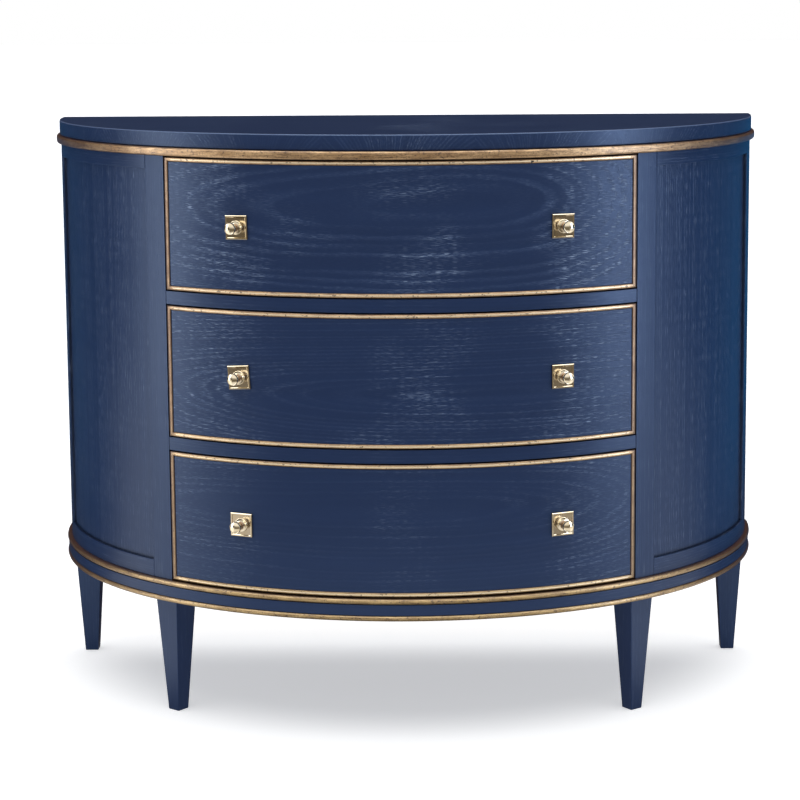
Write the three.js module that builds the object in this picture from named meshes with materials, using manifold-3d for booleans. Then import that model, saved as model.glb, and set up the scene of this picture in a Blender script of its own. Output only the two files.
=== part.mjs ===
// A half-round chest of three bowed drawers, painted navy, with gilt mouldings and brass knobs.
// Millimetres, +Z up. The front faces -Y, the flat back lies in the plane of the back edges,
// and the origin is under the middle of the whole chest, on the floor.
import * as THREE from "three";
import { mergeVertices } from "three/addons/utils/BufferGeometryUtils.js";
import Module from "manifold-3d";

// Plan of the carcase: half an ellipse, cut off by the flat back
const carcaseHalfWidth = 551;
const carcaseDepth = 488;
const curveSteps = 54;

// Clearance between pieces that touch
const seat = 0.3;

// Top: a board, and under it a sub-top edged with a gilt band
const topThickness = 23.2;
const topOverhang = 2;
const topEase = 1.6;
const topEaseSteps = 1;
const bandHeight = 12.2;
const bandProjection = 7;
const bandCorner = 3;
const bandCornerSteps = 2;

// Base: a thick board with three mouldings on its edge, gilt, painted and gilt again
const beadHeight = 8.3;
const beadProjection = 7;
const beadSteps = 4;
const baseBandHeight = 15.8;
const baseBandProjection = 5.4;
const trimRebate = 8;

// Legs: square and tapered, each with a round tenon in the base board
const legHeight = 175;
const legTopWidth = 42;
const legFootWidth = 21;
const legInset = 6.7;
const frontLegX = 360;
const rearLegBackInset = 8;
const tenonRadius = 11;
const tenonHeight = 24;
const tenonSteps = 16;

// Curved sides: two stiles, two rails and a recessed panel in a groove
const sideThickness = 22;
const frontStileWidth = 29.5;
const rearStileDepth = 115;
const sideTopRailHeight = 20;
const sideBottomRailHeight = 25.4;
const panelRecess = 5;
const panelThickness = 8;
const panelTongue = 8;

// Inside of the carcase
const openingHalfWidth = 344.5;
const partitionThickness = 15;
const backThickness = 8;
const backRecess = 2;
const railHeight = 19.5;
const railEndDepth = 52;
const runnerWidth = 40;

// Drawers
const drawerFrontHeight = 194;
const drawerFrontThickness = 20;
const drawerGap = 2;
const drawerSideGap = 1.5;
const boxSideClearance = 2.5;
const boxSideThickness = 12;
const boxSideHeight = 160;
const boxBackClearance = 20;
const boxBackThickness = 12;
const boxBackHeight = 140;
const bottomThickness = 6;
const bottomRise = 10;
const grooveDepth = 6;

// Gilt cock bead round each drawer front
const cockBeadWidth = 6.2;
const cockBeadProud = 1.8;
const cockBeadDepth = 5;
const cockBeadSteps = 4;

// Knobs, each on a square plate with a raised rim, and the screw that holds them
const knobPlaceShare = 0.676;
const knobX = openingHalfWidth * knobPlaceShare;
const plateHalfWidth = 17.3;
const plateThickness = 3;
const plateRimWidth = 1.4;
const plateRimBevel = 0.8;
const plateSunk = 0.9;
const flangeRadius = 10.2;
const flangeThickness = 1.8;
const flangeShoulderRadius = 5.6;
const flangeShoulderHeight = 2.4;
const neckRadius = 3.8;
const neckLength = 6;
const collarRadius = 5.8;
const collarThickness = 1.6;
const headRadius = 8.7;
const headLength = 8.4;
const headFaceRadius = 8.1;
const buttonRadius = 4.2;
const buttonHeight = 1.8;
const screwRadius = 2;
const screwHoleClearance = 0.4;
const screwHoleSteps = 10;
const screwHeadRadius = 4.4;
const screwHeadThickness = 2.6;
const roundSteps = 16;
const headSteps = 5;

// Heights that follow
const baseBottom = legHeight + seat;
const baseHeight = 2 * beadHeight + baseBandHeight + 2 * seat;
const baseTop = baseBottom + baseHeight;
const openingHeight = drawerFrontHeight + 2 * drawerGap;
const drawerNames = ["bottom", "middle", "top"];
const drawerPitch = openingHeight + railHeight;
const carcaseTop = baseTop + drawerNames.length * drawerPitch - railHeight;
const topBottom = carcaseTop + bandHeight + seat;
const carcaseHeight = carcaseTop - baseTop - 2 * seat;
const overallDepth = carcaseDepth + Math.max(beadProjection, bandProjection);
const boxHalfWidth = openingHalfWidth - boxSideClearance;

const navy = { color: 0x2d3a58, roughness: 0.5, metalness: 0 };
const gilt = { color: 0xb08a5e, roughness: 0.4, metalness: 0.8 };
const brass = { color: 0xd8c48c, roughness: 0.2, metalness: 1 };
const drawerWood = { color: 0xc9ab7c, roughness: 0.6, metalness: 0 };

const wasm = await Module();
wasm.setup();

const chest = new THREE.Group();
chest.position.y = overallDepth / 2;

function place(parent, name, geometry, finish) {
  const mesh = new THREE.Mesh(geometry, new THREE.MeshStandardMaterial(finish));
  mesh.name = name;
  parent.add(mesh);
  return mesh;
}

function solidOf(geometry) {
  const bare = geometry.clone();
  bare.deleteAttribute("normal");
  bare.deleteAttribute("uv");
  const merged = mergeVertices(bare);
  return new wasm.Manifold(
    new wasm.Mesh({
      numProp: 3,
      vertProperties: merged.attributes.position.array,
      triVerts: new Uint32Array(merged.index.array),
    }),
  );
}

function geometryOf(solid) {
  const mesh = solid.getMesh();
  const geometry = new THREE.BufferGeometry();
  geometry.setAttribute("position", new THREE.BufferAttribute(mesh.vertProperties, 3));
  geometry.setIndex(new THREE.BufferAttribute(mesh.triVerts, 1));
  geometry.computeVertexNormals();
  return geometry;
}

const cut = (geometry, ...tools) =>
  geometryOf(tools.reduce((rest, tool) => rest.subtract(solidOf(tool)), solidOf(geometry)));
const join = (...geometries) =>
  geometryOf(geometries.map(solidOf).reduce((sum, next) => sum.add(next)));

// The front curve. Angle 0 is the right back corner and PI the left one, and a positive offset
// lies outside the carcase.
const curvePoint = (angle, offset) =>
  new THREE.Vector2(
    (carcaseHalfWidth + offset) * Math.cos(angle),
    -(carcaseDepth + offset) * Math.sin(angle),
  );
const angleAtX = (x, offset) => Math.acos(x / (carcaseHalfWidth + offset));
const frontAtX = (x, offset) => curvePoint(angleAtX(x, offset), offset).y;
const curveSpeed = (angle) =>
  Math.hypot(carcaseHalfWidth * Math.sin(angle), carcaseDepth * Math.cos(angle));

function anglesBetween(from, to) {
  const step = Math.PI / curveSteps;
  const angles = [from];
  for (let i = Math.ceil(from / step); i * step < to; i += 1) {
    if (i * step - from > step / 4 && to - i * step > step / 4) angles.push(i * step);
  }
  angles.push(to);
  return angles;
}

const curveBetween = (from, to, offset) =>
  anglesBetween(from, to).map((angle) => curvePoint(angle, offset));

// A board of the given plan outline, standing on the height bottom
function board(outline, bottom, height, ease = 0) {
  const geometry = new THREE.ExtrudeGeometry(new THREE.Shape(outline), {
    depth: height - 2 * ease,
    bevelEnabled: ease > 0,
    bevelThickness: ease,
    bevelSize: ease,
    bevelOffset: -ease,
    bevelSegments: topEaseSteps,
  });
  return geometry.translate(0, 0, bottom + ease);
}

function block(xFrom, xTo, yFrom, yTo, bottom, height) {
  return new THREE.BoxGeometry(Math.abs(xTo - xFrom), yTo - yFrom, height).translate(
    (xFrom + xTo) / 2,
    (yFrom + yTo) / 2,
    bottom + height / 2,
  );
}

// Half-round board that fills the carcase out to an offset
const halfRound = (offset, bottom, height, ease) =>
  board(curveBetween(0, Math.PI, offset), bottom, height, ease);

// Bowed board between two planes that face sideways
function bowedOutline(halfWidth, outer, inner) {
  const arc = (offset) => {
    const end = angleAtX(halfWidth, offset);
    return curveBetween(end, Math.PI - end, offset);
  };
  return [...arc(outer), ...arc(inner).reverse()];
}

const bowedBoard = (halfWidth, outer, inner, bottom, height) =>
  board(bowedOutline(halfWidth, outer, inner), bottom, height);

// Upright strip behind the curve, whose front end is cut to the slope of the curve
function stripBehindCurve(side, inner, outer, offset, back, bottom, height) {
  const outline = [
    new THREE.Vector2(side * inner, frontAtX(inner, offset)),
    new THREE.Vector2(side * outer, frontAtX(outer, offset)),
    new THREE.Vector2(side * outer, back),
    new THREE.Vector2(side * inner, back),
  ];
  return board(outline, bottom, height);
}

// Closed surface through rings of points. The profile is counter-clockwise when the rings
// come towards the viewer.
function loft(rings, profile, closed) {
  const count = profile.length;
  const positions = rings.flat().flatMap((p) => [p.x, p.y, p.z]);
  const faces = [];
  const spans = closed ? rings.length : rings.length - 1;
  for (let i = 0; i < spans; i += 1) {
    const here = i * count;
    const there = ((i + 1) % rings.length) * count;
    for (let j = 0; j < count; j += 1) {
      const k = (j + 1) % count;
      faces.push(here + j, here + k, there + k);
      faces.push(here + j, there + k, there + j);
    }
  }
  if (!closed) {
    const last = (rings.length - 1) * count;
    for (const [a, b, c] of THREE.ShapeUtils.triangulateShape(profile, [])) {
      faces.push(c, b, a);
      faces.push(last + a, last + b, last + c);
    }
  }
  const geometry = new THREE.BufferGeometry();
  geometry.setAttribute("position", new THREE.Float32BufferAttribute(positions, 3));
  geometry.setIndex(faces);
  geometry.computeVertexNormals();
  return geometry;
}

// Profile of offsets (x) and heights (y), swept along the front curve
function sweep(profile, from = 0, to = Math.PI) {
  const rings = anglesBetween(from, to).map((angle) =>
    profile.map((point) => {
      const spot = curvePoint(angle, point.x);
      return new THREE.Vector3(spot.x, spot.y, point.y);
    }),
  );
  return loft(rings, profile, false);
}

const rectangle = (left, right, bottom, top) => [
  new THREE.Vector2(left, bottom),
  new THREE.Vector2(right, bottom),
  new THREE.Vector2(right, top),
  new THREE.Vector2(left, top),
];

function arcPoints(centreX, centreY, radiusX, radiusY, from, to, steps) {
  const points = [];
  for (let i = 0; i <= steps; i += 1) {
    const angle = from + ((to - from) * i) / steps;
    points.push(
      new THREE.Vector2(centreX + radiusX * Math.cos(angle), centreY + radiusY * Math.sin(angle)),
    );
  }
  return points;
}

// Top

function topPieces() {
  place(chest, "top_board", halfRound(topOverhang, topBottom, topThickness, topEase), navy);
  place(chest, "sub_top", halfRound(-trimRebate, carcaseTop, bandHeight), navy);
  const inner = seat - trimRebate;
  const centre = bandProjection - bandCorner;
  const round = (y, from, to) =>
    arcPoints(centre, y, bandCorner, bandCorner, from, to, bandCornerSteps);
  const top = carcaseTop + bandHeight;
  const profile = [
    new THREE.Vector2(inner, carcaseTop),
    ...round(carcaseTop + bandCorner, -Math.PI / 2, 0),
    ...round(top - bandCorner, 0, Math.PI / 2),
    new THREE.Vector2(inner, top),
  ];
  place(chest, "top_gilt_band", sweep(profile), gilt);
}

// Base

function beadProfile(bottom) {
  const radius = beadHeight / 2;
  const inner = seat - trimRebate;
  const nose = arcPoints(
    beadProjection - radius,
    bottom + radius,
    radius,
    radius,
    -Math.PI / 2,
    Math.PI / 2,
    beadSteps,
  );
  return [new THREE.Vector2(inner, bottom), ...nose, new THREE.Vector2(inner, bottom + beadHeight)];
}

function basePieces() {
  const sockets = legPlaces().map(({ x, y }) =>
    upright(tenonRadius + seat, tenonHeight + 2 * seat, tenonSteps).translate(x, y, legHeight),
  );
  place(chest, "base_board", cut(halfRound(-trimRebate, baseBottom, baseHeight), ...sockets), navy);
  const bandBottom = baseBottom + beadHeight + seat;
  const bandTop = bandBottom + baseBandHeight;
  const band = rectangle(seat - trimRebate, baseBandProjection, bandBottom, bandTop);
  place(chest, "base_bead_lower", sweep(beadProfile(baseBottom)), gilt);
  place(chest, "base_band", sweep(band), navy);
  place(chest, "base_bead_upper", sweep(beadProfile(bandTop + seat)), gilt);
}

// Legs

// Cylinder that stands on height 0
const upright = (radius, height, steps) =>
  new THREE.CylinderGeometry(radius, radius, height, steps)
    .rotateX(Math.PI / 2)
    .translate(0, 0, height / 2);

function legPlaces() {
  const angle = angleAtX(frontLegX, 0);
  const surface = curvePoint(angle, 0);
  const outward = outwardAt(surface);
  const front = surface.clone().addScaledVector(outward, -(legInset + legTopWidth / 2));
  const rearX = carcaseHalfWidth - legInset - legTopWidth / 2;
  const rearY = -(rearLegBackInset + legTopWidth / 2);
  const turn = Math.atan2(outward.x, -outward.y);
  return [
    { name: "front_leg_left", x: -front.x, y: front.y, turn: -turn },
    { name: "front_leg_right", x: front.x, y: front.y, turn },
    { name: "rear_leg_left", x: -rearX, y: rearY, turn: 0 },
    { name: "rear_leg_right", x: rearX, y: rearY, turn: 0 },
  ];
}

function outwardAt(surface) {
  const slope = new THREE.Vector2(
    surface.x / (carcaseHalfWidth * carcaseHalfWidth),
    surface.y / (carcaseDepth * carcaseDepth),
  );
  return slope.normalize();
}

function legPieces() {
  const square = (width) => width * Math.SQRT1_2;
  const shaft = new THREE.CylinderGeometry(square(legTopWidth), square(legFootWidth), legHeight, 4)
    .rotateY(Math.PI / 4)
    .rotateX(Math.PI / 2)
    .translate(0, 0, legHeight / 2);
  const tenon = upright(tenonRadius, 2 * tenonHeight, tenonSteps).translate(
    0,
    0,
    legHeight - tenonHeight,
  );
  for (const { name, x, y, turn } of legPlaces()) {
    const leg = place(chest, name, join(shaft, tenon), navy);
    leg.position.set(x, y, 0);
    leg.rotation.z = turn;
  }
}

// Curved sides

function sidePieces(side, suffix) {
  const bottom = baseTop + seat;
  const top = bottom + carcaseHeight;
  const frontAngle = angleAtX(openingHalfWidth + frontStileWidth, 0);
  const rearAngle = Math.asin(rearStileDepth / carcaseDepth);
  const along = (angle, length) => length / curveSpeed(angle);
  const mirrored = (geometry) => (side > 0 ? geometry : mirrorX(geometry));

  const panelOffsets = [-panelRecess - panelThickness, -panelRecess];
  const panelFrom = (reach) => rearAngle - along(rearAngle, reach);
  const panelTo = (reach) => frontAngle + along(frontAngle, reach);
  const panelLow = bottom + sideBottomRailHeight;
  const panelHigh = top - sideTopRailHeight;
  const panelBody = (grow) =>
    sweep(
      rectangle(
        panelOffsets[0] - grow,
        panelOffsets[1] + grow,
        panelLow - panelTongue - grow,
        panelHigh + panelTongue + grow,
      ),
      panelFrom(panelTongue + grow),
      panelTo(panelTongue + grow),
    );
  const groove = panelBody(seat);

  const stileOutline = [
    ...curveBetween(frontAngle, angleAtX(openingHalfWidth, 0), 0),
    ...curveBetween(frontAngle, angleAtX(openingHalfWidth, -sideThickness), -sideThickness).reverse(),
  ];
  const frontStile = board(stileOutline, bottom, carcaseHeight);
  const whole = rectangle(-sideThickness, 0, bottom, top);
  const rail = (low, high) =>
    sweep(
      rectangle(-sideThickness, 0, low, high),
      rearAngle + along(rearAngle, seat),
      frontAngle - along(frontAngle, seat),
    );
  const pieces = {
    front_stile: cut(frontStile, groove),
    rear_stile: cut(sweep(whole, 0, rearAngle), groove),
    side_top_rail: cut(rail(panelHigh, top), groove),
    side_bottom_rail: cut(rail(bottom, panelLow), groove),
    side_panel: panelBody(0),
  };
  for (const [name, geometry] of Object.entries(pieces)) {
    place(chest, `${name}_${suffix}`, mirrored(geometry), navy);
  }
}

function mirrorX(geometry) {
  const mirror = new THREE.Matrix4().makeScale(-1, 1, 1);
  return geometryOf(solidOf(geometry).transform(mirror.elements));
}

// Inside of the carcase

function insidePieces() {
  const bottom = baseTop + seat;
  const backFront = -(backRecess + backThickness);
  const backHalfWidth = carcaseHalfWidth - sideThickness - 2 * seat;
  const back = block(-backHalfWidth, backHalfWidth, backFront, -backRecess, bottom, carcaseHeight);
  place(chest, "back_panel", back, drawerWood);

  const inner = openingHalfWidth;
  const outer = openingHalfWidth + partitionThickness;
  const behindStile = -(sideThickness + seat);
  const partitionBack = backFront - seat;
  const railHalfWidth = openingHalfWidth - seat;
  const railBack = frontAtX(railHalfWidth, 0) + railEndDepth;
  for (const [suffix, side] of [["left", -1], ["right", 1]]) {
    const partition = stripBehindCurve(
      side,
      inner,
      outer,
      behindStile,
      partitionBack,
      bottom,
      carcaseHeight,
    );
    place(chest, `partition_${suffix}`, partition, drawerWood);
  }
  for (const [index, level] of ["lower", "upper"].entries()) {
    const railBottom = baseTop + (index + 1) * drawerPitch - railHeight;
    const outline = bowedRailOutline(railHalfWidth, railBack);
    place(chest, `drawer_rail_${level}`, board(outline, railBottom, railHeight), navy);
    for (const [suffix, side] of [["left", -1], ["right", 1]]) {
      const runner = block(
        side * railHalfWidth,
        side * (railHalfWidth - runnerWidth),
        railBack + seat,
        partitionBack,
        railBottom,
        railHeight,
      );
      place(chest, `runner_${level}_${suffix}`, runner, drawerWood);
    }
  }
}

function bowedRailOutline(halfWidth, back) {
  const end = angleAtX(halfWidth, 0);
  return [
    ...curveBetween(end, Math.PI - end, 0),
    new THREE.Vector2(-halfWidth, back),
    new THREE.Vector2(halfWidth, back),
  ];
}

// Drawers

// The cock bead is a half-round strip let into the edge of the drawer front, mitred at its corners
function cockBead(halfWidth, height) {
  const profile = [
    new THREE.Vector2(cockBeadWidth, -cockBeadDepth),
    ...arcPoints(cockBeadWidth / 2, 0, cockBeadWidth / 2, cockBeadProud, 0, Math.PI, cockBeadSteps),
    new THREE.Vector2(0, -cockBeadDepth),
  ];
  const end = angleAtX(halfWidth, 0);
  const between = anglesBetween(end, Math.PI - end)
    .map((angle) => curvePoint(angle, 0).x)
    .filter((x) => Math.abs(x) < halfWidth - 2 * cockBeadWidth);
  const low = between.toReversed().map((x) => ({ x, z: 0, inX: 0, inZ: 1 }));
  const high = between.map((x) => ({ x, z: height, inX: 0, inZ: -1 }));
  const path = [
    { x: -halfWidth, z: 0, inX: 1, inZ: 1 },
    ...low,
    { x: halfWidth, z: 0, inX: -1, inZ: 1 },
    { x: halfWidth, z: height, inX: -1, inZ: -1 },
    ...high,
    { x: -halfWidth, z: height, inX: 1, inZ: -1 },
  ];
  const rings = path.map(({ x, z, inX, inZ }) =>
    profile.map((point) => {
      const across = x + inX * point.x;
      return new THREE.Vector3(across, frontAtX(across, point.y), z + inZ * point.x);
    }),
  );
  return loft(rings, profile, true);
}

// Lathe profile from the screw head inside the drawer to the button on the knob's face
function knobProfile() {
  const start = -(drawerFrontThickness + seat + screwHeadThickness);
  const flange = plateThickness - plateSunk + 2 * seat;
  const shoulder = flange + flangeThickness + flangeShoulderHeight;
  const collar = shoulder + neckLength;
  const head = collar + collarThickness;
  const face = head + headLength;
  const along = (radius, height) => new THREE.Vector2(radius, height);
  return [
    along(0, start),
    along(screwHeadRadius, start),
    along(screwHeadRadius, start + screwHeadThickness),
    along(screwRadius, start + screwHeadThickness),
    along(screwRadius, flange),
    along(flangeRadius, flange),
    along(flangeRadius, flange + flangeThickness),
    along(flangeShoulderRadius, flange + flangeThickness + flangeShoulderHeight / 2),
    along(neckRadius, shoulder),
    along(neckRadius, collar),
    along(collarRadius, collar),
    along(collarRadius, head),
    ...headCurve(head, face),
    along(buttonRadius, face),
    along(buttonRadius, face + buttonHeight / 2),
    along(buttonRadius / 2, face + buttonHeight),
    along(0, face + buttonHeight),
  ];
}

// The head swells from the collar to its full radius and rolls over to a wide face
function headCurve(back, face) {
  const backTurn = Math.acos(collarRadius / headRadius);
  const faceTurn = Math.acos(headFaceRadius / headRadius);
  const height = (face - back) / (Math.sin(backTurn) + Math.sin(faceTurn));
  const widest = back + height * Math.sin(backTurn);
  return arcPoints(0, widest, headRadius, height, -backTurn, faceTurn, headSteps);
}

const turned = (profile, steps) => new THREE.LatheGeometry(profile, steps).rotateX(Math.PI);

// Square plate, as a four-sided turning, bored for the screw
function knobPlate() {
  const corner = (half, height) => new THREE.Vector2(half * Math.SQRT2, height);
  const top = seat + plateThickness;
  const rimInside = plateHalfWidth - plateRimBevel - plateRimWidth;
  const plate = turned(
    [
      corner(0, seat),
      corner(plateHalfWidth, seat),
      corner(plateHalfWidth, top - plateRimBevel),
      corner(plateHalfWidth - plateRimBevel, top),
      corner(rimInside, top),
      corner(rimInside - plateSunk, top - plateSunk),
      corner(0, top - plateSunk),
    ],
    4,
  ).rotateY(Math.PI / 4);
  return cut(plate, screwHole());
}

// Bore along the knob's axis, long enough to pass the plate and the drawer front
function screwHole() {
  const length = drawerFrontThickness + plateThickness;
  return new THREE.CylinderGeometry(
    screwRadius + screwHoleClearance,
    screwRadius + screwHoleClearance,
    2 * length,
    screwHoleSteps,
  );
}

function drawerPieces(name, index) {
  const drawer = new THREE.Group();
  const height = drawerFrontHeight;
  const halfWidth = openingHalfWidth - drawerSideGap;
  drawer.position.z = baseTop + index * drawerPitch + drawerGap;
  chest.add(drawer);

  const knobPlaces = [["left", -1], ["right", 1]].map(([suffix, side]) => {
    const surface = new THREE.Vector2(side * knobX, frontAtX(knobX, 0));
    const outward = outwardAt(surface);
    const holder = new THREE.Group();
    holder.position.set(surface.x, surface.y, height / 2);
    holder.rotation.z = Math.atan2(outward.x, -outward.y);
    holder.updateMatrix();
    drawer.add(holder);
    return { suffix, holder };
  });

  const boxLow = seat - drawerGap;
  const bottomLow = boxLow + bottomRise;
  const insetHalfWidth = halfWidth - cockBeadWidth - seat;
  const inset = cockBeadWidth + seat;
  const raised = bowedBoard(insetHalfWidth, 0, -drawerFrontThickness, inset, height - 2 * inset);
  const ground = bowedBoard(halfWidth, -cockBeadDepth - seat, -drawerFrontThickness, 0, height);
  const insideHalfWidth = boxHalfWidth - boxSideThickness;
  const bottomHalfWidth = insideHalfWidth + grooveDepth;
  const frontGroove = bowedBoard(
    bottomHalfWidth,
    grooveDepth - drawerFrontThickness,
    -2 * drawerFrontThickness,
    bottomLow - seat,
    bottomThickness + 2 * seat,
  );
  const holes = knobPlaces.map(({ holder }) => screwHole().applyMatrix4(holder.matrix));
  const front = cut(join(raised, ground), frontGroove, ...holes);
  place(drawer, `${name}_drawer_front`, front, navy);
  place(drawer, `${name}_drawer_cock_bead`, cockBead(halfWidth, height), gilt);

  const behindFront = -(drawerFrontThickness + seat);
  const boxBack = -(backRecess + backThickness + boxBackClearance);
  for (const [suffix, side] of [["left", -1], ["right", 1]]) {
    const wall = stripBehindCurve(
      side,
      insideHalfWidth,
      boxHalfWidth,
      behindFront,
      boxBack,
      boxLow,
      boxSideHeight,
    );
    const groove = block(
      0,
      side * bottomHalfWidth,
      -carcaseDepth,
      0,
      bottomLow - seat,
      bottomThickness + 2 * seat,
    );
    place(drawer, `${name}_drawer_side_${suffix}`, cut(wall, groove), drawerWood);
  }
  const bottomOutline = drawerBottomOutline(bottomHalfWidth - seat, boxBack);
  const bottom = board(bottomOutline, bottomLow, bottomThickness);
  place(drawer, `${name}_drawer_bottom`, bottom, drawerWood);
  const back = block(
    seat - insideHalfWidth,
    insideHalfWidth - seat,
    boxBack - boxBackThickness,
    boxBack,
    bottomLow + bottomThickness + seat,
    boxBackHeight,
  );
  place(drawer, `${name}_drawer_back`, back, drawerWood);

  for (const { suffix, holder } of knobPlaces) {
    place(holder, `${name}_knob_plate_${suffix}`, knobPlate(), brass);
    place(holder, `${name}_knob_${suffix}`, turned(knobProfile(), roundSteps), brass);
  }
}

function drawerBottomOutline(halfWidth, back) {
  const offset = grooveDepth - drawerFrontThickness - seat;
  const end = angleAtX(halfWidth, offset);
  return [
    ...curveBetween(end, Math.PI - end, offset),
    new THREE.Vector2(-halfWidth, back),
    new THREE.Vector2(halfWidth, back),
  ];
}

topPieces();
basePieces();
legPieces();
sidePieces(-1, "left");
sidePieces(1, "right");
insidePieces();
drawerNames.forEach(drawerPieces);

export default chest;
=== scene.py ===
# %% [markdown]
# # A half-round chest of drawers, painted and gilded
# The chest is an oak carcase painted navy, with three bowed drawers, gilt beads and brass knobs.
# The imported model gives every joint, board and size, and stays fixed under everything that
# is added here. This lesson dresses it: pieces whose curves or edges show get a finer mesh, and
# every surface gets a finish made of shader nodes.
# Lengths in the code are millimetres, as on a workshop drawing, and become metres at the end.

import math

import bmesh
import bpy
from mathutils import Matrix, Vector


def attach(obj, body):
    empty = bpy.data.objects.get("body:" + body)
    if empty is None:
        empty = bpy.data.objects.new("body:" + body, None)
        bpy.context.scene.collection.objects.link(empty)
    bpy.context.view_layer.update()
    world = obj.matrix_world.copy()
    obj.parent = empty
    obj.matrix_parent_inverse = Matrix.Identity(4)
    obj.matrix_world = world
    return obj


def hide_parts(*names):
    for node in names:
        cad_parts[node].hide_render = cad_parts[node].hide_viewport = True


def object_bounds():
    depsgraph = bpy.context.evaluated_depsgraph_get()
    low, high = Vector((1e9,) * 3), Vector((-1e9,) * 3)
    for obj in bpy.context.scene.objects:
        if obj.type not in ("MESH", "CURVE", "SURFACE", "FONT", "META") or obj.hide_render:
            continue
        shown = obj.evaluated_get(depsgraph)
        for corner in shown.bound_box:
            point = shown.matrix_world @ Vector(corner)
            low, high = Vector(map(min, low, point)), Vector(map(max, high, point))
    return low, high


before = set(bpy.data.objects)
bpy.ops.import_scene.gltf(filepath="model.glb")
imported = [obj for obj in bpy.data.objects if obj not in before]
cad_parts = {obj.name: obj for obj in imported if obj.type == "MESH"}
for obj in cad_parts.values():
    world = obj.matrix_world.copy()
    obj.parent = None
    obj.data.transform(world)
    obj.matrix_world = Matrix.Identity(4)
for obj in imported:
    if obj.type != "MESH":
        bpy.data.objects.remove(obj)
cad_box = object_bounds()
scene = bpy.context.scene
print("nodes:", len(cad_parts), "size in metres:", cad_box[1] - cad_box[0])

# %% [markdown]
# ## The camera
# The photograph was taken from a little above the chest and a little to its right, with a long
# lens. The place, lens and turns below were fitted to the chest's corners and curves.
# A studio camera can slide its lens so that uprights stay parallel. A small slide is kept, and
# the camera is tilted for the rest.

# %% Place the camera
camera_place = (0.0803, -3.4402, 1.0829)
camera_lens = 102.75
camera_turn_left = math.radians(0.815)
camera_tilt_down = math.radians(7.935)
camera_roll = math.radians(0.367)

camera = bpy.data.objects.new("camera", bpy.data.cameras.new("camera"))
scene.collection.objects.link(camera)
camera.data.lens = camera_lens
camera.data.sensor_width = 36
camera.data.shift_x = -0.03
camera.data.shift_y = -0.12
camera.matrix_world = (
    Matrix.Translation(camera_place)
    @ Matrix.Rotation(camera_turn_left, 4, "Z")
    @ Matrix.Rotation(math.pi / 2 - camera_tilt_down, 4, "X")
    @ Matrix.Rotation(-camera_roll, 4, "Z")
)
scene.camera = camera
print("camera at", camera_place, "with a", camera_lens, "mm lens")

# %% [markdown]
# ## Shader maths in plain Python
# A finish is a tree of nodes, and most of them only add, multiply or compare numbers. Written
# one by one they hide the idea. Here a small class wraps a socket and gives it Python's own
# operators, so that `1 - mask` adds a Math node. Any other node comes from one method, `node`.


# %% A socket that can be added, multiplied and subtracted
class Value:
    def __init__(self, finish, socket):
        self.finish = finish
        self.socket = socket

    def maths(self, operation, first, second=0.0):
        return self.finish.node("Math", {"operation": operation}, {0: first, 1: second})

    def __add__(self, other):
        return self.maths("ADD", self, other)

    def __radd__(self, other):
        return self.maths("ADD", other, self)

    def __sub__(self, other):
        return self.maths("SUBTRACT", self, other)

    def __rsub__(self, other):
        return self.maths("SUBTRACT", other, self)

    def __mul__(self, other):
        return self.maths("MULTIPLY", self, other)

    def __rmul__(self, other):
        return self.maths("MULTIPLY", other, self)

    def __truediv__(self, other):
        return self.maths("DIVIDE", self, other)

    def __pow__(self, other):
        return self.maths("POWER", self, other)

    def fraction(self):
        return self.maths("FRACT", self)

    def absolute(self):
        return self.maths("ABSOLUTE", self)

    def at_least(self, low):
        return self.maths("MAXIMUM", self, low)


# %% A finish, and the patterns that every finish uses
class Finish:
    def __init__(self, owner, shader="Principled BSDF"):
        self.material = owner
        owner.use_nodes = True
        self.tree = owner.node_tree
        self.shader = self.tree.nodes[shader]

    def node(self, kind, settings, sockets, output=0):
        made = self.tree.nodes.new("ShaderNode" + kind)
        for name, value in settings.items():
            setattr(made, name, value)
        for name, value in sockets.items():
            self.feed(made.inputs[name], value)
        return Value(self, made.outputs[output])

    def feed(self, socket, value):
        if isinstance(value, Value):
            self.tree.links.new(value.socket, socket)
        else:
            socket.default_value = value

    def set(self, **values):
        for name, value in values.items():
            self.feed(self.shader.inputs[name.replace("_", " ")], value)

    def object_place(self):
        return self.node("TexCoord", {}, {}, "Object")

    def plank_place(self):
        return self.node("Attribute", {"attribute_name": "plank"}, {}, "Vector")

    def parts(self, vector):
        split = self.node("SeparateXYZ", {}, {0: vector}).socket.node
        return [Value(self, socket) for socket in split.outputs]

    def stretch(self, vector, factors):
        return self.node("VectorMath", {"operation": "MULTIPLY"}, {0: vector, 1: factors})

    def noise(self, vector, per_metre, detail=2.0, rough=0.5):
        sockets = {"Vector": self.stretch(vector, per_metre), "Scale": 1.0}
        sockets.update({"Detail": detail, "Roughness": rough})
        return self.node("TexNoise", {}, sockets)

    def step(self, value, low, high):
        settings = {"interpolation_type": "SMOOTHSTEP"}
        return self.node("MapRange", settings, {"Value": value, "From Min": low, "From Max": high})

    def mix(self, mask, first, second):
        sockets = {0: mask, 6: first, 7: second}
        return self.node("Mix", {"data_type": "RGBA"}, sockets, 2)

    def bump(self, height, depth, strength=1.0):
        sockets = {"Height": height, "Distance": depth, "Strength": strength}
        self.set(Normal=self.node("Bump", {}, sockets))


# %% Colours
def colour(red, green, blue):
    """Turns screen values from 0 to 255 into the linear colour that shaders use."""
    channels = [value / 255 for value in (red, green, blue)]
    return [((c + 0.055) / 1.055) ** 2.4 if c > 0.04045 else c / 12.92 for c in channels] + [1.0]


print("navy in linear light:", [round(c, 4) for c in colour(45, 58, 88)])

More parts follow.
